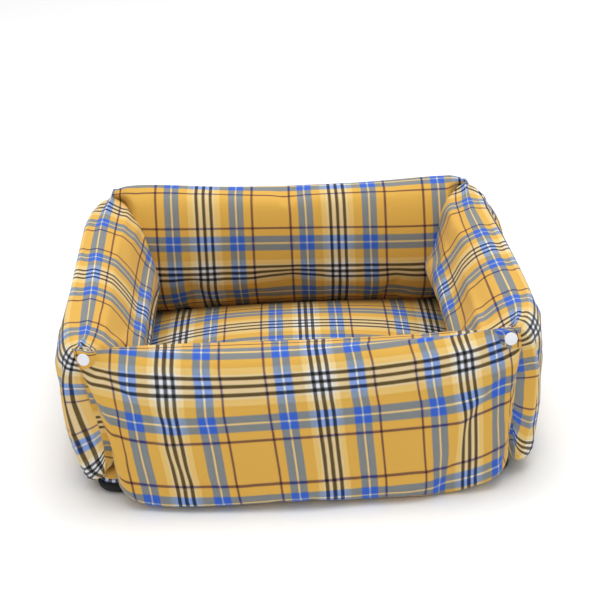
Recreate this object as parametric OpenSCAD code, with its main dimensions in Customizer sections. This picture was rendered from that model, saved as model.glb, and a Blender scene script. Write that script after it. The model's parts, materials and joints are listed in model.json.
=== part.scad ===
// Cushion bed for a small pet: a crowned base pad with four stuffed walls that are sewn to its
// edges, stand up, and are held corner to corner by press studs. With the studs undone, each wall
// folds outward about its seam until it rests on the floor.
//
// Frame: +Z up, -Y is the front, the origin is on the floor under the middle of the base.

/* [Bed] */
// Width over the bulge of the two side walls
bed_w = 470; // [380:5:700]
// Depth over the bulge of the front and back walls
bed_d = 408; // [320:2:600]
// Height of the walls' top edge above the floor
wall_top = 174; // [140:2:220]

/* [Walls] */
// How far a wall bulges outward from its hinge seam
wall_out = 32; // [24:1:38]
// How far a wall bulges inward from its hinge seam
wall_in = 38; // [28:1:48]
// Lowest point of a wall's stuffed lower edge above the floor
wall_low = 4; // [2:0.5:8]
// How far the lower end of the front and back walls stands in from the side walls' seams
foot_inset = 18; // [10:1:30]
// How far the front and back walls' ends lean outward on their way up, in degrees
end_lean = 5.5; // [0:0.5:8]
// Length over which a wall's stuffing thins out towards its end
end_taper = 46; // [34:1:60]
// Width of a side wall's flattened end
end_w = 28; // [22:1:34]
// Radius that lifts a side wall's lower corners clear of the base's corners
heel_r = 34; // [20:1:44]
// How far a wall folds outward, in degrees
fold = 80; // [60:1:82]

/* [Base] */
// Height of the hinge seams above the floor
hinge_z = 25; // [22:0.5:32]
// Height of the base pad at its middle
crown_z = 64; // [50:1:80]
// Slope of the base's underside from the seam down to the floor, in degrees
rim_slope = 36; // [30:0.5:37]
// Fullness of the base's crown: higher is flatter in the middle and steeper at the seams
crown_n = 3.4; // [2:0.1:4]
// Plan radius of the base's corners
corner_r = 18; // [10:1:30]

/* [Fabric] */
// Thickness of a quilted cover, its lining included
cover_t = 1.6; // [1:0.1:2.4]
// Radius of the rolled fabric in a hinge seam
seam_r = 2; // [1.5:0.1:3]
// Gap that keeps stuffing off its cover
fill_gap = 0.4; // [0.2:0.1:1]
// Gap between pieces on different bodies
body_gap = 0.4; // [0.3:0.1:1]

/* [Press studs] */
// Diameter of a press stud's cap
cap_d = 12.4; // [10:0.1:15]
// Thickness of a cap at its rim
cap_rim = 0.9; // [0.6:0.1:1.4]
// Height of a cap's dome over its rim
cap_dome = 0.9; // [0.4:0.1:1.6]
// Diameter of the post that is riveted through the fabric
post_d = 1.6; // [1.2:0.1:2.2]
// Diameter of the socket and of the stud's flange
half_d = 10.2; // [8:0.1:12]
// Height of a socket
socket_h = 2.6; // [2:0.1:3.4]
// Diameter of the stud's nib
nib_d = 4; // [3:0.1:5]
// Height of the stud's nib over its flange
nib_h = 2; // [1.6:0.1:2.4]
// Thickness of the flange of a socket and of a stud
flange_t = 1; // [0.8:0.1:1.4]
// Distance of the press studs below the walls' top edge
stud_drop = 11; // [9:0.5:30]
// Gap between the stud's nib and the socket's mouth, so that each wall can fold by itself
stud_gap = 0.3; // [0.2:0.1:1]
// Thickness of the front and back walls' flattened corners
tab_t = 3.2; // [2.4:0.1:5]
// Width of those flattened corners
tab_w = 32; // [22:1:38]

/* [Hidden] */
$fn = 48;

// Hinge lines: side walls turn about x = -+hinge_x, front and back walls about y = -+hinge_y.
hinge_x = bed_w / 2 - wall_out;
hinge_y = bed_d / 2 - wall_out;
// Straight lines from the hinge that a wall's section stays between: seen along the seam, with
// outward at 0 degrees and up at 90, it keeps from wall_floor_a round to wall_seat_a.
wall_floor_a = -62;
wall_seat_a = 132;
lobe_n = 2.4; // squareness of a wall's stuffed section; 2 would be an ellipse
foot_lean = 9; // the section's middle is this far out at its foot and on the hinge line at its top
fold_clear = 1; // height over the floor that a folded wall keeps
steps = 22; // points on each side of a section
far = 1000; // reaches past everything

// The end faces of the side walls, the faces of the tabs in front of them, and the studs between.
side_end_y = hinge_y - 1;
stud_stack = flange_t + nib_h + stud_gap + socket_h;
tab_y = side_end_y + stud_stack;
tab_s = tab_y - hinge_y;
tab_reach = hinge_x + 8; // half the front wall's length at its top corners
tab_rise = 2; // the flattened corners stand this much above the top edge
stud_x = hinge_x - 1;
stud_z = wall_top - stud_drop;
end_in = end_w / 2 - 4; // how far the side walls' flat ends reach inward of their hinge
tip_in = 0.2; // the stuffing's tips are this much thinner than the flattened corners, on each side
mitre_gap = 3.5; // room between the walls where they meet at an inner corner
cap_pocket = 0.3; // room round an inner cap
post_gap = 0.05; // running gap round a post
tab_h = 42; // height of a flattened corner
allowance = 3; // the base's rim is sewn flat over this many cover thicknesses
thinnest = 0.4; // half thickness of the stuffing where it runs out

plaid = [0.88, 0.66, 0.27];
black = [0.06, 0.06, 0.07];
fibre = [0.93, 0.93, 0.90];
white = [0.93, 0.93, 0.95];

function lobe(q, n) = pow(1 - pow(abs(2 * q - 1), n), 1 / n);
function mix(a, b, t) = a + (b - a) * t;

// ---- sections -------------------------------------------------------------------------------

// A wall's section, seen along its seam: x is outward from the hinge, y is height over the floor.
module wall_section(inset) {
    low = wall_low + inset;
    top = wall_top - inset;
    difference() {
        intersection() {
            polygon([
                for (i = [0 : steps]) let (q = (1 - cos(180 * i / steps)) / 2)
                    [mix(foot_lean, 0, q) + (wall_out - inset - foot_lean / 2) * lobe(q, lobe_n),
                     mix(low, top, q)],
                for (i = [steps - 1 : -1 : 1]) let (q = (1 - cos(180 * i / steps)) / 2)
                    [mix(foot_lean, 0, q) - (wall_in - inset + foot_lean / 2) * lobe(q, lobe_n),
                     mix(low, top, q)],
            ]);
            // the wedge over the hinge, moved up and outward by the inset
            translate([inset * 0.3, hinge_z + inset])
                polygon([
                    [0, 0],
                    far * [cos(wall_floor_a), sin(wall_floor_a)],
                    far * [1, 0], far * [1, 1], far * [-1, 1],
                    far * [cos(wall_seat_a), sin(wall_seat_a)],
                ]);
            // what lies over the floor when the wall is folded out
            translate([0, hinge_z]) rotate(fold) translate([-far, fold_clear + inset - hinge_z])
                square(2 * far);
        }
        translate([0, hinge_z]) circle(r = seam_r + body_gap + inset);
    }
}

// Stands a section up along +X with outward towards -Y, at the front hinge line.
module along_front(half_len) {
    translate([half_len, -hinge_y, 0]) rotate([90, 0, -90]) linear_extrude(2 * half_len)
        children();
}

// The same along Y with outward towards -X, at the left hinge line.
module along_left(half_len) {
    translate([-hinge_x, -half_len, 0]) rotate([90, 0, 180]) linear_extrude(2 * half_len)
        children();
}

// The outline of a wall's end in plan, from the outer side round the tip to the inner side: x
// runs along the wall, 0 at the tip, and y is outward from the hinge line.
function end_outline(from, to, inset) =
    let (
        middle = (from + to) / 2,
        thin = max((to - from) / 2 - inset, thinnest),
        taper = end_taper - inset
    )
    concat(
        [for (a = [0 : 9 : 90]) [taper * sin(a) - end_taper, mix(middle + thin, wall_out + 2, cos(a))]],
        [for (a = [90 : -9 : 0]) [taper * sin(a) - end_taper, mix(middle - thin, -wall_in - 2, cos(a))]]
    );

// What a wall keeps to where it meets its neighbour: full length outward of from, and a
// diagonal inward of it. x runs along the wall and y is outward from the hinge line.
module mitre(half_len, from, inset) {
    reach = half_len - from - 2 * wall_in - inset;
    polygon([
        [-far, 2 * wall_out], [far, 2 * wall_out], [far, from], [half_len - inset, from],
        [reach, -2 * wall_in], [-reach, -2 * wall_in], [inset - half_len, from], [-far, from],
    ]);
}

// ---- front and back wall --------------------------------------------------------------------

module front_wall_body(inset) {
    tip = tab_reach - tab_w / 2;
    intersection() {
        along_front(hinge_x + 10) wall_section(inset);
        for (side = [0, 1]) mirror([side, 0, 0])
            translate([tip, -hinge_y, wall_top]) rotate([0, end_lean, 0]) mirror([0, 1, 0])
                linear_extrude(3 * wall_top, center = true)
                    polygon(concat(
                        [[-tip - 30, wall_out + 2]],
                        end_outline(tab_s + tip_in, tab_s + tab_t - tip_in, inset),
                        [[-tip - 30, -wall_in - 2]]
                    ));
        translate([0, -hinge_y, -1]) mirror([0, 1, 0]) linear_extrude(wall_top + 2)
            mitre(hinge_x - end_in + tab_s + 1 - mitre_gap, tab_s - 0.5 + inset, inset);
    }
}

// The two flattened corners that the press studs go through.
module front_tabs() {
    for (side = [-1, 1])
        translate([side * (tab_reach - tab_w / 2), -tab_y, wall_top + tab_rise - tab_h / 2])
            rotate([90, 0, 0]) linear_extrude(tab_t)
                union() {
                    square([tab_w - 12, tab_h], center = true);
                    square([tab_w, tab_h - 12], center = true);
                    for (x = [-1, 1], y = [-1, 1])
                        translate([x * (tab_w / 2 - 6), y * (tab_h / 2 - 6)]) circle(r = 6);
                }
}

module at_front_studs() {
    for (side = [-1, 1]) translate([side * stud_x, -tab_y, stud_z]) rotate([90, 0, 0]) children();
}

module front_cover() {
    color(plaid) difference() {
        union() {
            front_wall_body(0);
            front_tabs();
        }
        front_wall_body(cover_t);
        at_front_studs() translate([0, 0, -1]) cylinder(r = post_d / 2 + post_gap, h = tab_t + 2);
    }
}

module front_filling() color(fibre) front_wall_body(cover_t + fill_gap);

// ---- side walls -----------------------------------------------------------------------------

module left_wall_body(inset) {
    half = side_end_y - inset;
    foot = half - heel_r;
    intersection() {
        along_left(side_end_y + 1) wall_section(inset);
        // plan: thins to the flat ends that the studs sit on
        translate([-hinge_x, 0, -1]) rotate(90) linear_extrude(wall_top + 2) {
            end = end_outline(-end_in, end_w - end_in, inset);
            polygon([
                for (p = end) [side_end_y + p.x, p.y],
                for (i = [len(end) - 1 : -1 : 0]) [-side_end_y - end[i].x, end[i].y],
            ]);
        }
        translate([-hinge_x, 0, -1]) rotate(90) linear_extrude(wall_top + 2)
            mitre(side_end_y, inset - end_in, inset);
        // side view: lower corners lifted on a radius
        rotate([90, 0, 90]) linear_extrude(2 * bed_w, center = true)
            polygon([
                for (a = [-90 : 10 : 0]) [foot + heel_r * cos(a), wall_low + heel_r * (1 + sin(a))],
                [half, far], [-half, far],
                for (a = [0 : -10 : -90]) [-foot - heel_r * cos(a), wall_low + heel_r * (1 + sin(a))],
            ]);
    }
}

module at_left_studs() {
    for (end = [-1, 1]) translate([-stud_x, end * side_end_y, stud_z])
        rotate([end * -90, 0, 0]) children();
}

module left_cover() {
    color(plaid) difference() {
        left_wall_body(0);
        left_wall_body_core(cover_t);
        at_left_studs() {
            translate([0, 0, -tab_t - cap_rim - cap_dome - cap_pocket])
                cylinder(r = cap_d / 2 + cap_pocket, h = cap_rim + cap_dome + 2 * cap_pocket);
            translate([0, 0, -tab_t - 1]) cylinder(r = post_d / 2 + post_gap, h = tab_t + 2);
        }
    }
}

// The stuffed part of a side wall stops short of the gathered fabric at its ends.
module left_wall_body_core(inset) {
    stuffed = side_end_y - tab_t - cap_rim - cap_dome - 2 * cap_pocket - cover_t - inset;
    intersection() {
        left_wall_body(inset);
        translate([-bed_w / 2 - 1, -stuffed, 0]) cube([bed_w, 2 * stuffed, wall_top]);
    }
}

module left_filling() color(fibre) left_wall_body_core(cover_t + fill_gap);

// ---- base pad -------------------------------------------------------------------------------

// Half width of the base at its seams, less the seam allowance for an inset.
function rim(half, inset) = half - seam_r - body_gap - allowance * inset;
// Where the sloped underside meets the floor, and its height at x.
function foot(half, inset) = half - (hinge_z + inset / cos(rim_slope) - inset) / tan(rim_slope);
function under(half, x, inset) = hinge_z - (half - x) * tan(rim_slope) + inset / cos(rim_slope);
// Height of the crowned top at x.
function crown(half, x, inset) =
    let (low = hinge_z + 1)
    low - inset + (crown_z - low) * (1 - pow(x / rim(half, 0), crown_n));

// The base's section from seam to seam: flat underside, sloped rims, crowned top. It runs past
// the seams a little, where the plan cuts it off.
module base_section(half, inset) {
    edge = rim(half, inset);
    xs = [for (i = [0 : steps]) edge * i / steps];
    rise = [for (x = xs) [x, crown(half, x, inset)]];
    right = [
        [foot(half, inset), inset],
        [edge + 1, under(half, edge + 1, inset)],
        [edge + 1, rise[steps].y],
        for (i = [steps : -1 : 0]) rise[i],
    ];
    polygon(concat(right, [for (i = [len(right) - 2 : -1 : 0]) [-right[i].x, right[i].y]]));
}

// A rectangle's corner rounded to corner_r, out at [x, y], starting at the angle given.
function corner(x, y, start) = [
    for (a = [start : 10 : start + 90])
        [x - sign(x) * corner_r + corner_r * cos(a), y - sign(y) * corner_r + corner_r * sin(a)]
];

module base_body(inset) {
    x = rim(hinge_x, inset);
    y = rim(hinge_y, inset);
    intersection() {
        rotate([90, 0, 0]) linear_extrude(2 * bed_d, center = true) base_section(hinge_x, inset);
        rotate([90, 0, 90]) linear_extrude(2 * bed_w, center = true) base_section(hinge_y, inset);
        translate([0, 0, -1]) linear_extrude(crown_z + 2)
            polygon(concat(corner(x, y, 0), corner(-x, y, 90), corner(-x, -y, 180), corner(x, -y, 270)));
    }
}

module base_shell() {
    difference() {
        base_body(0);
        base_body(cover_t);
    }
}

module base_half(z0, z1) {
    intersection() {
        base_shell();
        translate([-bed_w / 2, -bed_d / 2, z0]) cube([bed_w, bed_d, z1 - z0]);
    }
}

module base_top_panel() color(plaid) base_half(hinge_z, crown_z + 1);
module base_bottom_panel() color(black) base_half(-1, hinge_z);
module base_filling() color(fibre) base_body(cover_t + fill_gap);

// ---- hinge seams ----------------------------------------------------------------------------

// The rolled seam that a wall is sewn on with; it runs as far as the wall is sewn.
module front_seam() {
    half = hinge_x - foot_inset - 2;
    color(plaid) translate([-half, -hinge_y, hinge_z]) rotate([0, 90, 0])
        cylinder(r = seam_r, h = 2 * half);
}

module left_seam() {
    half = side_end_y - heel_r + 8;
    color(plaid) translate([-hinge_x, half, hinge_z]) rotate([90, 0, 0])
        cylinder(r = seam_r, h = 2 * half);
}

// ---- press studs ----------------------------------------------------------------------------

// A cap with its post, standing on z = 0 with its post down through the fabric.
module snap_cap(through) {
    color(white) {
        rotate_extrude() polygon([
            [0, 0], [cap_d / 2, 0], [cap_d / 2, cap_rim],
            for (i = [1 : 8]) let (a = 90 * i / 8)
                [cap_d / 2 * cos(a), cap_rim + cap_dome * sin(a)],
        ]);
        translate([0, 0, -through]) cylinder(r = post_d / 2, h = through + 0.1);
    }
}

// A socket: a flanged cup whose mouth faces +Z, riveted by the post through its floor.
module snap_socket() {
    color(white) difference() {
        union() {
            cylinder(r = half_d / 2, h = flange_t);
            cylinder(r = half_d / 2 - 1, h = socket_h);
        }
        translate([0, 0, flange_t]) cylinder(r = nib_d / 2 + 0.15, h = socket_h);
        translate([0, 0, -1]) cylinder(r = post_d / 2 + post_gap, h = flange_t + 2);
    }
}

// A stud: a flange with a nib on +Z, drilled for the post.
module snap_stud() {
    color(white) difference() {
        union() {
            cylinder(r = half_d / 2, h = flange_t);
            cylinder(r = nib_d / 2, h = flange_t + nib_h);
        }
        translate([0, 0, -1]) cylinder(r = post_d / 2 + post_gap, h = flange_t + nib_h + 2);
    }
}

// side is -1 at the left and 1 at the right; end is -1 at the front and 1 at the back.
module outer_cap(side, end) {
    translate([side * stud_x, end * (tab_y + tab_t), stud_z]) rotate([end * -90, 0, 0])
        snap_cap(tab_t + flange_t);
}

module socket(side, end) {
    translate([side * stud_x, end * tab_y, stud_z]) rotate([end * 90, 0, 0]) snap_socket();
}

module stud(side, end) {
    translate([side * stud_x, end * side_end_y, stud_z]) rotate([end * -90, 0, 0]) snap_stud();
}

module inner_cap(side, end) {
    translate([side * stud_x, end * (side_end_y - tab_t), stud_z]) rotate([end * 90, 0, 0])
        snap_cap(tab_t + flange_t);
}

// ---- nodes ----------------------------------------------------------------------------------

module back() mirror([0, 1, 0]) children();
module right() mirror([1, 0, 0]) children();

base_top_panel();
base_bottom_panel();
base_filling();
front_seam();  // front_hinge_seam
back() front_seam();  // back_hinge_seam
left_seam();  // left_hinge_seam
right() left_seam();  // right_hinge_seam
front_cover();  // front_wall_cover
front_filling();  // front_wall_filling
back() front_cover();  // back_wall_cover
back() front_filling();  // back_wall_filling
left_cover();  // left_wall_cover
left_filling();  // left_wall_filling
right() left_cover();  // right_wall_cover
right() left_filling();  // right_wall_filling
outer_cap(-1, -1);  // front_left_snap_cap
socket(-1, -1);  // front_left_snap_socket
outer_cap(1, -1);  // front_right_snap_cap
socket(1, -1);  // front_right_snap_socket
outer_cap(-1, 1);  // back_left_snap_cap
socket(-1, 1);  // back_left_snap_socket
outer_cap(1, 1);  // back_right_snap_cap
socket(1, 1);  // back_right_snap_socket
stud(-1, -1);  // left_front_snap_stud
inner_cap(-1, -1);  // left_front_snap_inner_cap
stud(-1, 1);  // left_back_snap_stud
inner_cap(-1, 1);  // left_back_snap_inner_cap
stud(1, -1);  // right_front_snap_stud
inner_cap(1, -1);  // right_front_snap_inner_cap
stud(1, 1);  // right_back_snap_stud
inner_cap(1, 1);  // right_back_snap_inner_cap
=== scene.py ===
import json
from math import cos, pi, radians, sin

import bmesh
import bpy
import numpy as np
from mathutils import Matrix, Vector


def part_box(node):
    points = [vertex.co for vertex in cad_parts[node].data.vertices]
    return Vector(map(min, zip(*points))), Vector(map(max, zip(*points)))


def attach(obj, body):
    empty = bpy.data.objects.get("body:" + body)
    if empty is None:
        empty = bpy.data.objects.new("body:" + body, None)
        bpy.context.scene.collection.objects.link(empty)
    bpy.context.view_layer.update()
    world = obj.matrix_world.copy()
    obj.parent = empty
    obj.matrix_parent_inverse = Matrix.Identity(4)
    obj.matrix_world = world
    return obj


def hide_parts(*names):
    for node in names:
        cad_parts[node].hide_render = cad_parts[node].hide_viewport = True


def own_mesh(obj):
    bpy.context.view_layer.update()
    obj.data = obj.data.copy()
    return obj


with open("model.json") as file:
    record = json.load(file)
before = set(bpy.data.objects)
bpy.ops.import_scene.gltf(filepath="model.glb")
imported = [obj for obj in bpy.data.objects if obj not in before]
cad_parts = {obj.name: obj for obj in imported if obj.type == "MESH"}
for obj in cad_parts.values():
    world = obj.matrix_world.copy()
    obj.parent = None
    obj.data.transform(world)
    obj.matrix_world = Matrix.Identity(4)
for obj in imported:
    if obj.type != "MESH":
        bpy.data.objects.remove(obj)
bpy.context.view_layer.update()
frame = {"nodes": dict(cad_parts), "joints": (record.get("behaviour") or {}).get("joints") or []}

# %% [markdown]
# # A plaid cushion bed for a small pet
# The bed is one crowned base pad with four stuffed walls sewn to its edges. Each wall is a long
# pillow: a single panel of plaid twill runs up the outer side, folds over the top and comes down
# the inner side. The walls stand because their top corners are pressed together with white
# plastic press studs.

# %% [markdown]
# ## Sizes from the frame
# The frame already says where the bed's parts lie, so the cloth is measured from it and not placed
# by eye: each wall turns about the seam that joins it to the pad, and each press stud has its own
# box. Everything below is worked out in millimetres, and becomes metres where a mesh is made.

# %% Seams and studs
MM = 0.001


def seam_place(joint_name):
    """A point on the seam that a wall folds about, in metres, from the frame's own joints."""
    return next(Vector(j["pos_m"]) for j in frame["joints"] if j["name"] == joint_name)


HINGE_X = seam_place("right_wall_fold").x / MM
HINGE_Y = seam_place("back_wall_fold").y / MM
HINGE_Z = seam_place("right_wall_fold").z / MM
cap_low, cap_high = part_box("front_right_snap_cap")
STUD_X = (cap_low.x + cap_high.x) / 2 / MM
STUD_Z = (cap_low.z + cap_high.z) / 2 / MM
print("hinge seams at x", round(HINGE_X, 1), "y", round(HINGE_Y, 1), "z", round(HINGE_Z, 1), "mm")
print("press studs at x", round(STUD_X, 1), "z", round(STUD_Z, 1), "mm")

# %% [markdown]
# ## Colours and nodes
# Yarn and plastic colours are easiest to name as hex codes, but shaders add light in linear
# numbers, so one function turns the first into the second. Node trees are built by one small
# function that adds a node and links it: it reads more easily than a screen full of wires.

# %% Colour and node helpers


def linear(hex_code):
    """An sRGB hex colour as the linear RGBA that a shader expects."""
    parts = [int(hex_code[i:i + 2], 16) / 255 for i in (1, 3, 5)]
    return tuple(c / 12.92 if c <= 0.04045 else ((c + 0.055) / 1.055) ** 2.4 for c in parts) + (1,)


def new_material(name):
    """A material with a Principled surface, and its node tree and shader."""
    material = bpy.data.materials.new(name)
    material.use_nodes = True
    return material, material.node_tree, material.node_tree.nodes["Principled BSDF"]


def add(tree, kind, settings=None, inputs=None):
    """Adds one node. settings are its properties; inputs are numbers, colours or sockets to link."""
    node = tree.nodes.new(kind)
    for key, value in (settings or {}).items():
        setattr(node, key, value)
    for key, value in (inputs or {}).items():
        socket = node.inputs[key]
        if isinstance(value, bpy.types.NodeSocket):
            tree.links.new(value, socket)
        else:
            socket.default_value = value
    return node


def math_of(tree, operation, a, b=0.0):
    """The result of one sum on two numbers or sockets."""
    return add(tree, "ShaderNodeMath", {"operation": operation}, {0: a, 1: b}).outputs[0]


print("a mid grey of #808080 is", round(linear("#808080")[0], 3), "in linear light")

# %% [markdown]
# ## The plaid
# The cloth is a soft cotton twill woven from dyed yarn. Both sets of yarn are striped: where two
# blue stripes cross the cloth is plain blue, and where blue crosses yellow both yarns show side by
# side and look grey-green. A printed picture of plaid could be wrapped round the bed, but it would
# blur close up. Here each set of yarn is a row of colours, and the twill's slanting ribs decide
# which of the two lies on top.

# %% Yarns of the plaid
BLACK, WHITE, CREAM, YELLOW = "#0d0b0a", "#dfe2ea", "#e9d094", "#d9a94b"
BLUE, PALE, PLUM = "#3560c5", "#ecdcb0", "#35182c"
# A repeat in mm, and the yarn from each distance on, in mm from the middle of three black lines.
WARP_SETT = (142, [(0, BLACK), (1.8, WHITE), (5.0, BLACK), (8.6, WHITE), (10.4, CREAM),
                   (15.5, YELLOW), (26.0, BLUE), (33.2, PALE), (34.8, BLUE), (42.0, YELLOW),
                   (49.1, PLUM), (51.5, YELLOW)])
WEFT_SETT = (156, [(0, BLACK), (1.8, WHITE), (6.2, BLACK), (9.9, WHITE), (12.0, CREAM),
                   (18.5, YELLOW), (28.5, BLUE), (36.2, PALE), (37.8, BLUE), (45.5, YELLOW),
                   (54.2, PLUM), (56.9, YELLOW)])


def stripes(tree, coordinate, sett):
    """The yarn's colour along one axis of the cloth. Its stripes mirror about the black lines."""
    repeat, yarns = sett
    turns = math_of(tree, "ADD", math_of(tree, "DIVIDE", coordinate, repeat * MM), 0.5)
    away = math_of(tree, "SUBTRACT", math_of(tree, "FRACT", turns), 0.5)
    half_repeats = math_of(tree, "MULTIPLY", math_of(tree, "ABSOLUTE", away), 2.0)
    ramp = add(tree, "ShaderNodeValToRGB", inputs={0: half_repeats})
    ramp.color_ramp.interpolation = "CONSTANT"
    stops = ramp.color_ramp.elements
    stops[0].position, stops[0].color = 0, linear(yarns[0][1])
    stops[1].position, stops[1].color = yarns[-1][0] / (repeat / 2), linear(yarns[-1][1])
    for start, code in yarns[1:-1]:
        stops.new(start / (repeat / 2)).color = linear(code)
    return ramp.outputs[0]


print("the plaid repeats every", WARP_SETT[0], "mm along one way and", WEFT_SETT[0], "mm the other")

# %% Twill
# Rib to rib along the warp axis. Real ribs are about 1 mm apart, and are drawn coarser to show.
TWILL = 2.3 * MM
RIB_SLANT = 0.8  # how far a rib moves along the warp axis for each step along the weft axis
SLUB = 25 / 13 * MM  # 1.9 mm: length of the thick and thin places in the yarn
SLUB_DEPTH = 0.35  # how far they move a rib's edge, as a share of TWILL
RIB_EDGE = (0.15, 0.35)  # a rib begins and is full this far from the middle of a gap, as a share of TWILL
WEFT_SHARE = (0.19, 0.81)  # how much the weft's colour shows between the ribs and on them


def twill_mask(tree, place, across, along):
    """How much of the weft shows at each point: high on the twill's ribs, low between them."""
    diagonal = math_of(tree, "ADD", across, math_of(tree, "MULTIPLY", along, RIB_SLANT))
    turn = math_of(tree, "FRACT", math_of(tree, "DIVIDE", diagonal, TWILL))
    ridge = math_of(tree, "ABSOLUTE", math_of(tree, "SUBTRACT", turn, 0.5))
    slub = add(tree, "ShaderNodeTexNoise",
               inputs={"Vector": place, "Scale": 1 / SLUB, "Detail": 2.0}).outputs[0]
    wander = math_of(tree, "MULTIPLY", math_of(tree, "SUBTRACT", slub, 0.5), SLUB_DEPTH)
    uneven = math_of(tree, "ADD", ridge, wander)
    return add(tree, "ShaderNodeMapRange", {"interpolation_type": "SMOOTHSTEP"},
               {0: uneven, 1: RIB_EDGE[0], 2: RIB_EDGE[1], 3: WEFT_SHARE[0], 4: WEFT_SHARE[1]}).outputs[0]


def plaid_cloth(name):
    """Yarn-dyed cotton twill, soft and matt, with slanting ribs and a faint nap at grazing angles."""
    material, tree, shader = new_material(name)
    place = add(tree, "ShaderNodeUVMap", {"uv_map": "cloth"}).outputs[0]
    axes = add(tree, "ShaderNodeSeparateXYZ", inputs={0: place}).outputs
    warp = stripes(tree, axes[0], WARP_SETT)
    weft = stripes(tree, axes[1], WEFT_SETT)
    mask = twill_mask(tree, place, axes[0], axes[1])
    # Dyed yarns darken each other, so the two colours are multiplied in shares, not averaged.
    warp_share = add(tree, "ShaderNodeGamma", inputs={0: warp, 1: math_of(tree, "SUBTRACT", 1.0, mask)})
    weft_share = add(tree, "ShaderNodeGamma", inputs={0: weft, 1: mask})
    woven = add(tree, "ShaderNodeMix", {"data_type": "RGBA", "blend_type": "MULTIPLY"},
                {0: 1.0, 6: warp_share.outputs[0], 7: weft_share.outputs[0]}).outputs[2]
    tree.links.new(woven, shader.inputs["Base Color"])
    shader.inputs["Roughness"].default_value = 0.85
    shader.inputs["Specular IOR Level"].default_value = 0.25
    shader.inputs["Sheen Weight"].default_value = 0.1
    bump = add(tree, "ShaderNodeBump", inputs={"Strength": 0.25, "Distance": 0.15 * MM, "Height": mask})
    tree.links.new(bump.outputs[0], shader.inputs["Normal"])
    return material


PLAID = plaid_cloth("cotton_twill_plaid")
print(PLAID.name, "has", len(PLAID.node_tree.nodes), "nodes")

# %% [markdown]
# ## The four stuffed walls
# Each wall is a pillow cut from one panel of cloth: up the outer side, over the top and down the
# inner side, sewn shut at both ends with a knife-edge seam and sewn to the pad along the bottom.
# A stretched cube would have no real cloth on it, so the pattern could not follow the fold. Here a
# grid is laid over the wall's own cross-section and drawn in to a seam at both ends, and each
# point's place on the flat panel becomes its UV, in metres.

# %% Curves


def spline(points, count):
    """count points evenly spaced along a smooth curve through the points given, and its length."""
    p = np.array([points[0]] + points + [points[-1]], float)
    p[0] = 2 * p[1] - p[2]
    p[-1] = 2 * p[-2] - p[-3]
    dense = []
    for i in range(1, len(p) - 2):
        for t in np.linspace(0, 1, 24, endpoint=False):
            a, b, c, d = p[i - 1], p[i], p[i + 1], p[i + 2]
            dense.append(0.5 * (2 * b + (c - a) * t + (2 * a - 5 * b + 4 * c - d) * t ** 2
                                + (3 * b - a - 3 * c + d) * t ** 3))
    dense.append(p[-2])
    dense = np.array(dense)
    run = np.concatenate([[0], np.cumsum(np.linalg.norm(np.diff(dense, axis=0), axis=1))])
    even = np.linspace(0, run[-1], count)
    return np.stack([np.interp(even, run, dense[:, k]) for k in range(dense.shape[1])], 1), run[-1]


def fullness(t, square):
    """How thick a pillow is at t along it, from 1 in the middle to 0 at the end seams."""
    return max(1 - abs(t) ** square, 0) ** 0.5


def stations(half, thick, square, count):
    """Stations -1..1 along a pillow, and how far along its flat cloth each lies, evenly spaced."""
    t = 1 - (1 - np.linspace(0, 1, 3001)) ** 3
    side = np.stack([t * half, [thick * fullness(q, square) for q in t]], 1)
    run = np.concatenate([[0], np.cumsum(np.linalg.norm(np.diff(side, axis=0), axis=1))])
    even = np.linspace(0, run[-1], count // 2 + 1)
    t = np.interp(even, run, t)
    return np.concatenate([-t[:0:-1], t]), np.concatenate([-even[:0:-1], even])


print("three quarters of the way to its end seam a pillow is", round(fullness(0.75, 8), 2), "full")

# %% Sections, in mm
# (outward from the hinge seam, height): a wall's outer side from the hinge up, and its inner side.
FRONT_OUTER = [(0, 24), (10, 11), (24, 5), (34, 14), (39, 38), (40, 72), (36, 108), (28, 140),
               (15, 164), (0, 173)]
FRONT_INNER = [(0, 24), (-22, 34), (-38, 52), (-44, 80), (-43, 108), (-35, 138), (-19, 164), (0, 173)]
BACK_OUTER = [(0, 24), (10, 11), (24, 5), (34, 14), (40, 38), (43, 72), (42, 108), (37, 140),
              (26, 166), (8, 178)]
BACK_INNER = [(0, 24), (-22, 34), (-37, 52), (-42, 80), (-39, 108), (-30, 138), (-13, 167), (8, 178)]
SIDE_OUTER = [(0, 26), (10, 13), (24, 12), (35, 26), (42, 55), (42, 90), (37, 126), (27, 153),
              (13, 169), (-2, 174)]
SIDE_INNER = [(0, 26), (-22, 34), (-40, 52), (-48, 82), (-47, 112), (-38, 142), (-21, 165), (-2, 174)]
print("the back wall's top is", BACK_OUTER[-1][1] - FRONT_OUTER[-1][1], "mm above the front wall's")

# %% End seams, in mm
# Each gives a point of the knife-edge seam at w, from 0 at the bottom to 1 at the top: the distance
# along the wall, outward from the hinge seam, and the height.


def left_ear_seam(w):
    """The front wall's left end, which flares out into the ear that carries the stud."""
    return 183 + 30 * w ** 1.6, 2 + 5 * w, 22 + 154 * w


def right_ear_seam(w):
    """The front wall's right end, which is sewn further out along the bottom."""
    return 203 + 9 * w ** 1.6, 2 + 5 * w, 22 + 154 * w


def back_ear_seam(w):
    """The back wall's ends, whose rounded ears lie flat behind the side walls' full corners."""
    return 204 + 4 * w ** 1.6 - 4 * w ** 16, 2 + 7 * w, 22 + 152 * w - 6 * w ** 16


def left_end_seam(w):
    """The left wall's front end, which is tucked in behind the front wall's ear."""
    return 172, -6 + 7 * w, 22 + 151 * w


def right_end_seam(w):
    """The right wall's front end, whose seam stands out and can be seen from the front."""
    return 173, 7 - 7 * w, 21 + 152 * w


def back_end_seam(w):
    """The side walls' back ends, which close the nest's inner corners."""
    return 176 + 3 * w, 1 - w, 23 + 152 * w


def tapered(low, drop):
    """An end's squareness at w: a large number stays stuffed right up to the seam."""
    return lambda w: low - drop * w ** 2


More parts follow.
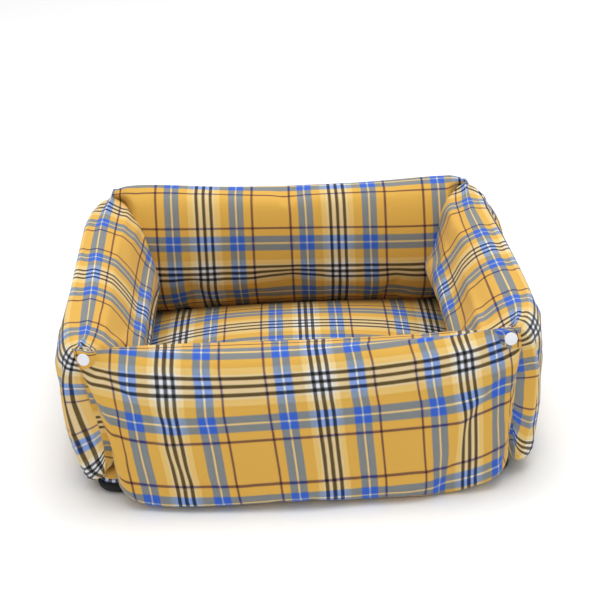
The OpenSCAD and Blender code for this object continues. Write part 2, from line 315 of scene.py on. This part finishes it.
print("the front wall's left end slants out by", left_ear_seam(1)[0] - left_ear_seam(0)[0], "mm")

# %% Leans and drifts, in mm
# A lean moves a wall outward and up, and a drift slides the pattern sideways where the cloth has
# slipped. t runs along the wall from -1 to 1, and depth from 0 at its top to 1 at its bottom.


def front_lean(t, w):
    """The front wall's top sags between its two studs."""
    return 0, -8 * w ** 2 * (1 - t * t)


def back_lean(t, w):
    """The back wall's top stands a little higher towards its left, and at both ends."""
    raised = 4 * max(-t, 0) ** 2 + 2 * max(t, 0) ** 4 + 1 - 5 * max(t, 0) ** 2 * (1 - t * t)
    return 0, (raised + 5 * cos(1.4 * (t + 0.25))) * w ** 2


def left_lean(t, w):
    """The left wall leans outward towards the back, and swells out above its tucked front end."""
    back = max(0.5 + 0.5 * t, 0)
    front_swell = -(1 - back) * (3.5 * sin(2 * pi * w) + sin(pi * w))
    return 10 * back * w ** 2 * (1 - abs(t) ** 4) + front_swell, (5 * back ** 2 + 1 - t * t) * w ** 2


def right_lean(t, w):
    """The right wall leans outward before it is drawn in to the front stud."""
    outward = 13 * (max(0.6 - t, 0) / 1.2) * (1 - abs(t) ** 5) * w ** 2
    return outward, (2 * (1 - t * t) + 2 * max(t, 0) ** 3) * w ** 2


def front_drift(t, depth):
    """The front wall's cloth has slipped to the right, and spreads towards its ends."""
    return (16 + 32 * t) * depth - 40 * t * depth ** 2 - 17 * max(t, 0) ** 2


def end_drift(t, depth):
    """The side walls' cloth is drawn round towards their front ends below the studs."""
    return -13 * depth * max(-t, 0) ** 2


def no_drift(t, depth):
    """The back wall's cloth lies straight."""
    return 0


print("the back wall's middle stands", round(back_lean(0, 1)[1], 1), "mm above its section")

# %% What each wall is
# place turns (along, outward, height) into x, y, z. turned swaps the panel's two axes, stretch is
# the cloth's stretch both ways, and triple is where its three black lines lie, from the middle of
# the wall's top edge. gather takes up the pattern towards the ends, and tilt slopes it.
FRONT_BACK = dict(half=194, stretch=(1, 1.08), gather=14, tilt=5, turned=False)
SIDE = dict(half=170, stretch=(1, 1), gather=0, tilt=0, turned=True, outer=SIDE_OUTER, inner=SIDE_INNER,
            drift=end_drift)
WALLS = {
    "front_wall": dict(
        FRONT_BACK, place=lambda a, s, z: (a, -HINGE_Y - s, z), outer=FRONT_OUTER, inner=FRONT_INNER,
        ends=(left_ear_seam, right_ear_seam), square=(tapered(9, 5.5), tapered(9, 5.5)),
        lean=front_lean, drift=front_drift, triple=(17.5, -43)),
    "back_wall": dict(
        FRONT_BACK, place=lambda a, s, z: (a, HINGE_Y + s, z), outer=BACK_OUTER, inner=BACK_INNER,
        ends=(back_ear_seam, back_ear_seam), square=(tapered(9, 1), tapered(9, 0)),
        lean=back_lean, drift=no_drift, triple=(52, 109), turned=True, stretch=(0.955, 1), gather=0),
    "left_wall": dict(
        SIDE, place=lambda a, s, z: (-HINGE_X - s, a, z),
        ends=(left_end_seam, back_end_seam), square=(tapered(15, 11), tapered(12, 4)),
        lean=left_lean, triple=(-10, -34)),
    "right_wall": dict(
        SIDE, place=lambda a, s, z: (HINGE_X + s, a, z),
        ends=(right_end_seam, back_end_seam), square=(tapered(15, 11), tapered(12, 5)),
        lean=right_lean, triple=(8, -31)),
}
print(len(WALLS), "walls, of half-lengths", sorted({spec["half"] for spec in WALLS.values()}), "mm")

# %% One wall
ALONG = 107  # points along a wall
ROUND = 37  # points up each side of it
PROFILE = (38, 8)  # mm of thickness and squareness that the points along a wall are spaced for


def wall_point(spec, outer, inner, t, u, row):
    """A point's place in space and on the flat panel, in mm, and its w. t, u: station, flat station."""
    on_outer = row < ROUND
    k = row if on_outer else 2 * ROUND - 2 - row
    w = k / (ROUND - 1)
    curve, run = outer if on_outer else inner
    s, z = curve[k]
    end = 0 if t < 0 else 1
    end_along, end_s, end_z = spec["ends"][end](w)
    full = fullness(t, spec["square"][end](w))
    s = end_s + (s - end_s) * full
    z = end_z + (z - end_z) * full ** 0.7
    along = t * (end_along + (spec["half"] - end_along) * (1 - t * t))
    lean, lift = spec["lean"](t, w)
    drift = spec["drift"](t, 1 - w) if on_outer else 0
    gather = spec["gather"] * abs(t) ** 3 * w if on_outer else 0
    over_top = w * run - outer[1] if on_outer else (1 - w) * run
    sideways = along + u - t * spec["half"] - drift - spec["triple"][0]
    lengthways = over_top - spec["triple"][1] - spec["tilt"] * t - gather
    cloth = (sideways / spec["stretch"][0], lengthways / spec["stretch"][1])
    return spec["place"](along, s + lean, z + lift), cloth[::-1] if spec["turned"] else cloth, w


def wall_mesh(name, spec):
    """A wall pillow in the bed's frame, with its cloth map and a mark on the seams that are held."""
    outer, inner = spline(spec["outer"], ROUND), spline(spec["inner"], ROUND)
    ts, flat = stations(spec["half"], *PROFILE, ALONG)
    bm = bmesh.new()
    layer = bm.loops.layers.uv.new("cloth")
    hold = bm.verts.layers.float.new("held")
    bmesh.ops.create_grid(bm, x_segments=ALONG - 1, y_segments=2 * ROUND - 2, size=1)
    uv = {}
    for index, v in enumerate(sorted(bm.verts, key=lambda v: (round(v.co.y, 5), round(v.co.x, 5)))):
        row, column = divmod(index, ALONG)
        place, cloth, w = wall_point(spec, outer, inner, ts[column], flat[column], row)
        v.co = Vector(place) * MM
        v[hold] = 1.0 if column in (0, ALONG - 1) or w == 0 else 0.0
        uv[v] = Vector(cloth) * MM
    for face in bm.faces:
        for loop in face.loops:
            loop[layer].uv = uv[loop.vert]
        face.smooth = True
    bmesh.ops.remove_doubles(bm, verts=bm.verts, dist=0.05 * MM)
    bmesh.ops.recalc_face_normals(bm, faces=bm.faces)
    print(name, "cloth up the outer side", round(outer[1]), "mm, down the inner side", round(inner[1]), "mm")
    return bm


# %% Making pieces and the four walls


def finish_piece(name, bm, material):
    """Turns a finished bmesh into a piece whose object stays at the origin."""
    mesh = bpy.data.meshes.new(name)
    bm.to_mesh(mesh)
    bm.free()
    mesh.materials.append(material)
    piece = bpy.data.objects.new(name, mesh)
    bpy.context.scene.collection.objects.link(piece)
    print(name, len(mesh.polygons), "faces")
    return piece


walls = {body: finish_piece(body, wall_mesh(body, spec), PLAID) for body, spec in WALLS.items()}

# %% [markdown]
# ## Filling the walls
# Stuffed cloth is smooth where the filling pushes it out and puckered where a seam holds it in.
# Blender's cloth solver gives both: each pillow gets air pressure inside, cloth a little larger
# than the space it encloses, and seams that cannot move. No point may move further than a few
# millimetres, so the walls keep their size. The result is written back into the mesh.

# %% Cloth solver
PRESSURE = 2.2
SPARE_CLOTH = 0.05  # how much larger the cloth is than the shape, as a share
FURTHEST = 7 * MM  # no point moves further than this
FRAMES = 20


def make_cloth(piece):
    """Gives a wall its cloth, with the seams marked in the mesh held still."""
    held = piece.vertex_groups.new(name="held")
    weights = piece.data.attributes["held"].data
    held.add([i for i, w in enumerate(weights) if w.value > 0.5], 1.0, "REPLACE")
    cloth = piece.modifiers.new("cloth", "CLOTH")
    cloth.settings.quality = 6
    cloth.settings.mass = 0.15
    cloth.settings.tension_stiffness = cloth.settings.compression_stiffness = 14
    cloth.settings.shear_stiffness = 5
    cloth.settings.bending_stiffness = 0.35
    cloth.settings.use_pressure = True
    cloth.settings.uniform_pressure_force = PRESSURE
    cloth.settings.shrink_min = -SPARE_CLOTH
    cloth.settings.vertex_group_mass = "held"
    cloth.settings.effector_weights.gravity = 0
    cloth.collision_settings.use_collision = False
    cloth.point_cache.frame_start, cloth.point_cache.frame_end = 1, FRAMES


def keep_result(piece, graph):
    """Writes the settled cloth back into the mesh, with each point's move capped."""
    count = len(piece.data.vertices)
    rest, moved = np.empty(count * 3), np.empty(count * 3)
    piece.data.vertices.foreach_get("co", rest)
    piece.evaluated_get(graph).data.vertices.foreach_get("co", moved)
    move = (moved - rest).reshape(-1, 3)
    far = np.linalg.norm(move, axis=1, keepdims=True) + 1e-9
    move *= FURTHEST * np.tanh(far / FURTHEST) / far
    print(piece.name, "moved up to", round(float(far.max() / MM), 1), "mm before the cap")
    piece.modifiers.clear()
    piece.vertex_groups.clear()
    piece.data.vertices.foreach_set("co", rest + move.reshape(-1))
    piece.data.update()


for wall in walls.values():
    make_cloth(wall)
for frame_number in range(1, FRAMES + 1):
    bpy.context.scene.frame_set(frame_number)
settled = bpy.context.evaluated_depsgraph_get()
for wall in walls.values():
    keep_result(wall, settled)
bpy.context.scene.frame_set(1)

# %% [markdown]
# ## Cloth pinched at the press studs
# At each top corner the end of the front or back wall becomes a flat ear, and a stud goes through
# it into the end of the side wall. The solver knows nothing of studs, so the ear is pressed flat:
# points near a stud are drawn towards the ear's two faces, fully under the cap and less
# and less away from it. The side walls' cloth lies flat behind the ears.

# %% Ears
EAR_FACES = (4.9, 8.1)  # mm outward from the hinge seam: the inner and outer faces of an ear
GRIP_REACH, GRIP_FADE = 24, 16  # mm: how far from a stud the cloth is drawn in, and over what distance
END_FACE, END_REACH = 171.5, 34  # mm: the side walls' ends lie no further out than this near a stud
# For each ear: the stud's side in x and y, and how the ear slopes away per mm along it and up it.
EARS = {"front_left": (-1, -1, 0.24, -0.12), "front_right": (1, -1, -0.04, -0.34),
        "back_left": (-1, 1, 0.1, -0.2), "back_right": (1, 1, -0.1, -0.2)}


def grip_ear(mesh, side_x, side_y, slope_x, slope_z):
    """Presses the cloth round one stud towards the ear's two sloping faces."""
    gripped = 0
    for v in mesh.vertices:
        x, z = v.co.x / MM, v.co.z / MM
        away = ((x - side_x * STUD_X) ** 2 + (z - STUD_Z) ** 2) ** 0.5
        if away < GRIP_REACH:
            grip = min(max((GRIP_REACH - away) / GRIP_FADE, 0), 1)
            grip = grip * grip * (3 - 2 * grip)
            s = side_y * v.co.y / MM - HINGE_Y
            face = EAR_FACES[1 if side_y * v.normal.y > 0 else 0]
            face += slope_x * (x - side_x * STUD_X) + slope_z * (z - STUD_Z)
            v.co.y = side_y * (HINGE_Y + s + (face - s) * grip) * MM
            gripped += 1
    return gripped


for ear, sides_and_slopes in EARS.items():
    wall = walls[ear.split("_")[0] + "_wall"]
    print(ear, "ear grips", grip_ear(wall.data, *sides_and_slopes), "points")

for side, body in ((-1, "left_wall"), (1, "right_wall")):
    for v in walls[body].data.vertices:
        away = ((v.co.x / MM - side * STUD_X) ** 2 + (v.co.z / MM - STUD_Z) ** 2) ** 0.5
        if away < END_REACH and abs(v.co.y) > END_FACE * MM:
            v.co.y = (END_FACE if v.co.y > 0 else -END_FACE) * MM

# %% [markdown]
# ## Walls that fold
# Each wall rides on its own body and stands for the plain cover and filling of the frame. When a
# wall is laid down, its stuffed lower edge is pressed between the seam and the floor. Nothing here
# squashes the part beyond the seam, so the rigid pillow would cut through the floor as it folds.

# %% Declaring the walls
for body, wall in walls.items():
    smooth = wall.modifiers.new("subdivision", "SUBSURF")
    smooth.levels = smooth.render_levels = 1
    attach(wall, body)
    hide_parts(body + "_cover", body + "_filling")
    hinge = Vector(WALLS[body]["place"](0, 0, HINGE_Z)) * MM
    outward = Vector(WALLS[body]["place"](0, 1, HINGE_Z)) * MM - hinge
    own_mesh(wall)
    print(body, "folds about its seam at", [round(c / MM, 1) for c in hinge], "mm")

# %% [markdown]
# ## The base pad
# The pad is a flat cushion: a crowned plaid top whose cloth comes down round the rim, and a black
# non-slip cloth underneath that shows as a dark edge at the corners. A disc or a cube would pinch
# at a pole or at its corners. Both halves here are grids drawn to a rounded rectangle, because a
# grid keeps even squares and closes without a pole. The rim is extruded from the grid's edge, row
# by row, and bridged to a smaller grid that shuts it from inside.

# %% Pad shapes
PAD_HALF = (208, 172)  # mm, at the rim's fullest
PAD_POINTS = 61  # points along each side of the grids


def rounded(x, y, half, corner):
    """Moves a point of the square -1..1 to a rounded rectangle with the corner radius given, in mm."""
    reach = max(abs(x), abs(y))
    if reach == 0:
        return 0.0, 0.0
    core = (half[0] - corner, half[1] - corner)
    px, py = x * half[0], y * half[1]
    ex, ey = x / reach * half[0], y / reach * half[1]
    over_x, over_y = max(abs(ex) - core[0], 0), max(abs(ey) - core[1], 0)
    if over_x == 0 or over_y == 0:
        return px, py
    pull = min(corner / (over_x ** 2 + over_y ** 2) ** 0.5, 1)
    ex = (core[0] + over_x * pull) * (1 if ex > 0 else -1)
    ey = (core[1] + over_y * pull) * (1 if ey > 0 else -1)
    k = reach ** 6
    return px * (1 - k) + ex * reach * k, py * (1 - k) + ey * reach * k


def pad_half(bm, inset, corner, height):
    """A grid drawn to the pad's rounded plan. height(x, y) gives its height in mm. Returns its rim."""
    old = set(bm.edges)
    side = PAD_POINTS - 1
    half = (PAD_HALF[0] - inset, PAD_HALF[1] - inset)
    for v in bmesh.ops.create_grid(bm, x_segments=side, y_segments=side, size=1)["verts"]:
        x, y = v.co.x, v.co.y
        v.co = Vector((*rounded(x, y, half, corner), height(x, y))) * MM
    return [e for e in bm.edges if e.is_boundary and e not in old]


def pull_rim(bm, rim, steps):
    """Carries a rim on, each step so many mm further out at the height given. Returns its new edge."""
    for grow, height in steps:
        made = bmesh.ops.extrude_edge_only(bm, edges=rim)["geom"]
        rim = [g for g in made if isinstance(g, bmesh.types.BMEdge)]
        for v in {v for e in rim for v in e.verts}:
            v.co += Vector((v.co.x, v.co.y, 0)).normalized() * grow * MM
            v.co.z = height * MM
    return rim


def close_pad(bm, rims):
    """Joins the two rims and turns every face outward."""
    bmesh.ops.bridge_loops(bm, edges=rims)
    bmesh.ops.recalc_face_normals(bm, faces=bm.faces)
    for face in bm.faces:
        face.smooth = True


def crown(x, y):
    """The plaid top's height in mm: a full cushion, a little lower on its right and at its corners."""
    rim = 28 - 2 * abs(x * y) ** 6
    middle = 60 - 3 * x
    return rim + (middle - rim) * max(1 - abs(x) ** 2.6, 0) ** 1.1 * max(1 - abs(y) ** 2.8, 0) ** 0.8


print("the pad is", round(crown(0, 0)), "mm high in the middle,", round(crown(1, 1)), "mm at its corners")

# %% Plaid top
TOP_RIM = ((4, 17), (0, 14), (-3, 11.5))  # (mm further out, height in mm) of each row of the rim
BAND_TOP = 17.5  # mm: below this the rim's cloth is a separate band
BAND_TURN, BAND_EASE = 18, 1.6  # mm of height where the band starts, and its pattern's spread


def pad_top():
    """The crowned top and its rim, with one cloth map for the top and one for the band."""
    bm = bmesh.new()
    layer = bm.loops.layers.uv.new("cloth")
    rim = pull_rim(bm, pad_half(bm, 5, 18, crown), TOP_RIM)
    close_pad(bm, rim + pad_half(bm, 9, 16, lambda x, y: 11))
    for face in bm.faces:
        on_band = face.calc_center_median().z < BAND_TOP * MM
        for loop in face.loops:
            co = loop.vert.co
            shift = (51, -28 + BAND_EASE * (BAND_TURN - co.z / MM)) if on_band else (-11, -62)
            loop[layer].uv = (co.x + shift[0] * MM, co.y + shift[1] * MM)
    return bm


pad = finish_piece("base_pad", pad_top(), PLAID)

# %% Black underside
UNDER_RIM = ((4, 3), (2, 7), (-1, 11), (-5, 12.5))  # (mm further out, height in mm) of each row
YARN_GRAIN = 10 / 9 * MM  # 1.1 mm from yarn to yarn, drawn coarser than the real 0.5 mm so that it shows


def woven_black(name):
    """Plain-woven black polyester: dull, with a fine uneven grain of lit and shaded yarns."""
    material, tree, shader = new_material(name)
    place = add(tree, "ShaderNodeTexCoord").outputs["Object"]
    grain = add(tree, "ShaderNodeTexNoise", inputs={"Vector": place, "Scale": 1 / YARN_GRAIN,
                                                    "Detail": 2.0}).outputs[0]
    tone = add(tree, "ShaderNodeMix", {"data_type": "RGBA"},
               {0: grain, 6: linear("#0b0b0d"), 7: linear("#1d1d21")}).outputs[2]
    tree.links.new(tone, shader.inputs["Base Color"])
    shader.inputs["Roughness"].default_value = 0.8
    bump = add(tree, "ShaderNodeBump", inputs={"Strength": 0.3, "Distance": 0.2 * MM, "Height": grain})
    tree.links.new(bump.outputs[0], shader.inputs["Normal"])
    return material


def pad_bottom():
    """The flat underside, whose edge turns up round the pad to meet the plaid."""
    bm = bmesh.new()
    rim = pull_rim(bm, pad_half(bm, 5, 18, lambda x, y: 0.5), UNDER_RIM)
    close_pad(bm, rim + pad_half(bm, 9, 16, lambda x, y: 12))
    return bm


NON_SLIP = woven_black("black_non_slip_cloth")
underside = finish_piece("base_underside", pad_bottom(), NON_SLIP)

# %% Declaring the pad
for piece, nodes, slot in ((pad, ("base_top_panel", "base_filling"), "plaid_fabric"),
                           (underside, ("base_bottom_panel",), "non_slip_fabric")):
    smooth = piece.modifiers.new("subdivision", "SUBSURF")
    smooth.levels = smooth.render_levels = 1
    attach(piece, "base")
    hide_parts(*nodes)
    print(piece.name, "stands for", ", ".join(nodes))

# %% [markdown]
# ## Press studs
# The white caps are the heads of moulded press studs, one at each top corner. The real head is a
# shallow dome with a rolled rim on a short pin. A plain disc would do from far away, but a spun
# profile gives the rim its highlight. Each head leans with the ear it is pressed through.

# %% White plastic
MOULD_FLOW = 25 / 6 * MM  # 4.2 mm: size of the faint unevenness that the mould leaves


def moulded_plastic(name):
    """Glossy white acetal from a mould, whose faint unevenness breaks up its highlights."""
    material, tree, shader = new_material(name)
    place = add(tree, "ShaderNodeTexCoord").outputs["Object"]
    flow = add(tree, "ShaderNodeTexNoise", inputs={"Vector": place, "Scale": 1 / MOULD_FLOW,
                                                   "Detail": 1.0}).outputs[0]
    shader.inputs["Base Color"].default_value = linear("#eceef4")
    shader.inputs["Specular IOR Level"].default_value = 0.5
    rough = add(tree, "ShaderNodeMapRange", inputs={0: flow, 3: 0.22, 4: 0.34}).outputs[0]
    tree.links.new(rough, shader.inputs["Roughness"])
    bump = add(tree, "ShaderNodeBump", inputs={"Strength": 0.15, "Distance": 0.05 * MM, "Height": flow})
    tree.links.new(bump.outputs[0], shader.inputs["Normal"])
    return material


WHITE_PLASTIC = moulded_plastic("moulded_white_acetal")
print(WHITE_PLASTIC.name, "has", len(WHITE_PLASTIC.node_tree.nodes), "nodes")

# %% Moulded heads
# Radius and height above the cloth, in mm, from the middle of the dome out to the rim and under it.
HEAD = [(0, 1.9), (1.6, 1.85), (3.2, 1.65), (4.4, 1.3), (5.0, 1.15), (5.5, 1.25), (6.0, 1.1), (6.2, 0.6),
        (6.0, 0.1), (5.4, -0.1), (1.2, -0.1), (1.2, -4.6), (0, -4.6)]
HEAD_LIFT = 0.3  # mm between the ear's outer face and the head


def stud_head(middle, facing):
    """A stud's head, spun from its profile, at middle and facing the way given."""
    bm = bmesh.new()
    ring = [bm.verts.new((r * MM, 0, h * MM)) for r, h in HEAD]
    edges = [bm.edges.new(pair) for pair in zip(ring, ring[1:])]
    bmesh.ops.spin(bm, geom=ring + edges, axis=(0, 0, 1), cent=(0, 0, 0), steps=48, angle=2 * pi,
                   use_merge=True)
    bmesh.ops.remove_doubles(bm, verts=bm.verts, dist=0.01 * MM)
    bmesh.ops.recalc_face_normals(bm, faces=bm.faces)
    turn = Vector(facing).to_track_quat("Z", "Y").to_matrix().to_4x4()
    bmesh.ops.transform(bm, matrix=Matrix.Translation(middle) @ turn, verts=bm.verts)
    for face in bm.faces:
        face.smooth = True
    return bm


for ear, (side_x, side_y, slope_x, slope_z) in EARS.items():
    middle = Vector((side_x * STUD_X, side_y * (HINGE_Y + EAR_FACES[1] + HEAD_LIFT), STUD_Z)) * MM
    head = finish_piece(ear + "_stud_head", stud_head(middle, (-slope_x, side_y, -slope_z)), WHITE_PLASTIC)
    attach(head, ear.split("_")[0] + "_wall")
    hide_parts(ear + "_snap_cap")

# %% [markdown]
# ## Sewing thread
# The walls are joined to the pad by a lapped seam. What shows of it, when a wall is laid down, is
# a narrow rope of yellow thread, so the seams that come from the frame get a thread finish with
# its slanting twist drawn across it. Modelled stitches would be too small to be seen.

# %% Thread
LAP = pi / 0.8 * MM  # 3.9 mm from turn to turn, measured along x + y + z


def sewing_thread(name):
    """Dull yellow polyester thread, lapped in close slanting turns, with painted shade in the gaps between
    them.
    """
    material, tree, shader = new_material(name)
    place = add(tree, "ShaderNodeTexCoord").outputs["Object"]
    # A diagonal wave turns ten radians for each unit of x + y + z at a scale of 1.
    turns = add(tree, "ShaderNodeTexWave", {"wave_type": "BANDS", "bands_direction": "DIAGONAL"},
                {"Vector": place, "Scale": 2 * pi / (10 * LAP), "Distortion": 0.6}).outputs["Fac"]
    # The darker yellow is painted shade in the gaps between the turns; the lighter yellow is the thread's
    # own colour.
    tone = add(tree, "ShaderNodeMix", {"data_type": "RGBA"},
               {0: turns, 6: linear("#9a6a1e"), 7: linear("#dba544")}).outputs[2]
    tree.links.new(tone, shader.inputs["Base Color"])
    shader.inputs["Roughness"].default_value = 0.7
    shader.inputs["Sheen Weight"].default_value = 0.15
    bump = add(tree, "ShaderNodeBump", inputs={"Strength": 0.5, "Distance": 0.3 * MM, "Height": turns})
    tree.links.new(bump.outputs[0], shader.inputs["Normal"])
    return material


THREAD = sewing_thread("lapped_yellow_thread")
print(THREAD.name, "turns every", round(LAP / MM, 1), "mm")

# %% [markdown]
# ## Finishes for the frame's own parts
# The studs' hidden halves and the seams are carried over as they are, and only need a finish.
# Parts that a cloth piece stands for get one too, so that nothing is left bare.

# %% Finishing the frame's parts


def finish_of(node_name):
    """The finish that suits a part of the frame, from what it is called."""
    for word, finish in (("snap", WHITE_PLASTIC), ("seam", THREAD), ("bottom", NON_SLIP)):
        if word in node_name:
            return finish
    return PLAID


for name, node in frame["nodes"].items():
    node.data.materials.clear()
    node.data.materials.append(finish_of(name))
    print(name, "is finished in", finish_of(name).name)

# %% [markdown]
# ## Floor, light and camera
# The bed stands on plain white under one broad lamp overhead, in a pale surround that fills the
# shadows. A few small lamps would make hard edges that soft cloth does not have. The camera looks
# down on the front through a long lens, so that the back wall is hardly smaller than the front.

# %% White floor
bpy.ops.mesh.primitive_plane_add(size=12)
floor = bpy.context.object
floor.name = "floor"
material, tree, shader = new_material("studio_white")
shader.inputs["Base Color"].default_value = linear("#ffffff")
shader.inputs["Roughness"].default_value = 0.9
floor.data.materials.append(material)
print("floor", floor.dimensions.x, "m across")

# %% Overhead lamp and surround
LAMP_PLACE, LAMP_AIM = Vector((0.1, 0.1, 2.2)), Vector((0, 0, 0.08))
lamp_data = bpy.data.lights.new("overhead", "AREA")
lamp_data.shape, lamp_data.size, lamp_data.energy = "SQUARE", 2.0, 37
lamp = bpy.data.objects.new("overhead", lamp_data)
lamp.location = LAMP_PLACE
lamp.rotation_euler = (LAMP_AIM - LAMP_PLACE).to_track_quat("-Z", "Y").to_euler()
bpy.context.scene.collection.objects.link(lamp)

world = bpy.data.worlds.new("studio")
bpy.context.scene.world = world
world.use_nodes = True
surround = world.node_tree.nodes["Background"]
surround.inputs["Color"].default_value = linear("#ffffff")
surround.inputs["Strength"].default_value = 0.66
bpy.context.scene.view_settings.view_transform = "Standard"
print("lamp", lamp_data.energy, "W, surround", round(surround.inputs["Strength"].default_value, 2))

# %% Camera
CAMERA_PLACE = (0.0015, -1.3933, 0.8531)
PITCH, YAW, ROLL = radians(27.74), radians(0.15), radians(-2.71)
camera_data = bpy.data.cameras.new("camera")
camera_data.sensor_width = 36
camera_data.lens = 88.7
camera = bpy.data.objects.new("camera", camera_data)
camera.matrix_world = (Matrix.Translation(CAMERA_PLACE)
                       @ Matrix.Rotation(-YAW, 4, "Z")
                       @ Matrix.Rotation(pi / 2 - PITCH, 4, "X")
                       @ Matrix.Rotation(ROLL, 4, "Z"))
bpy.context.scene.collection.objects.link(camera)
bpy.context.scene.camera = camera
print("camera", round(Vector(CAMERA_PLACE).length, 2), "m from the bed's middle, lens", camera_data.lens)
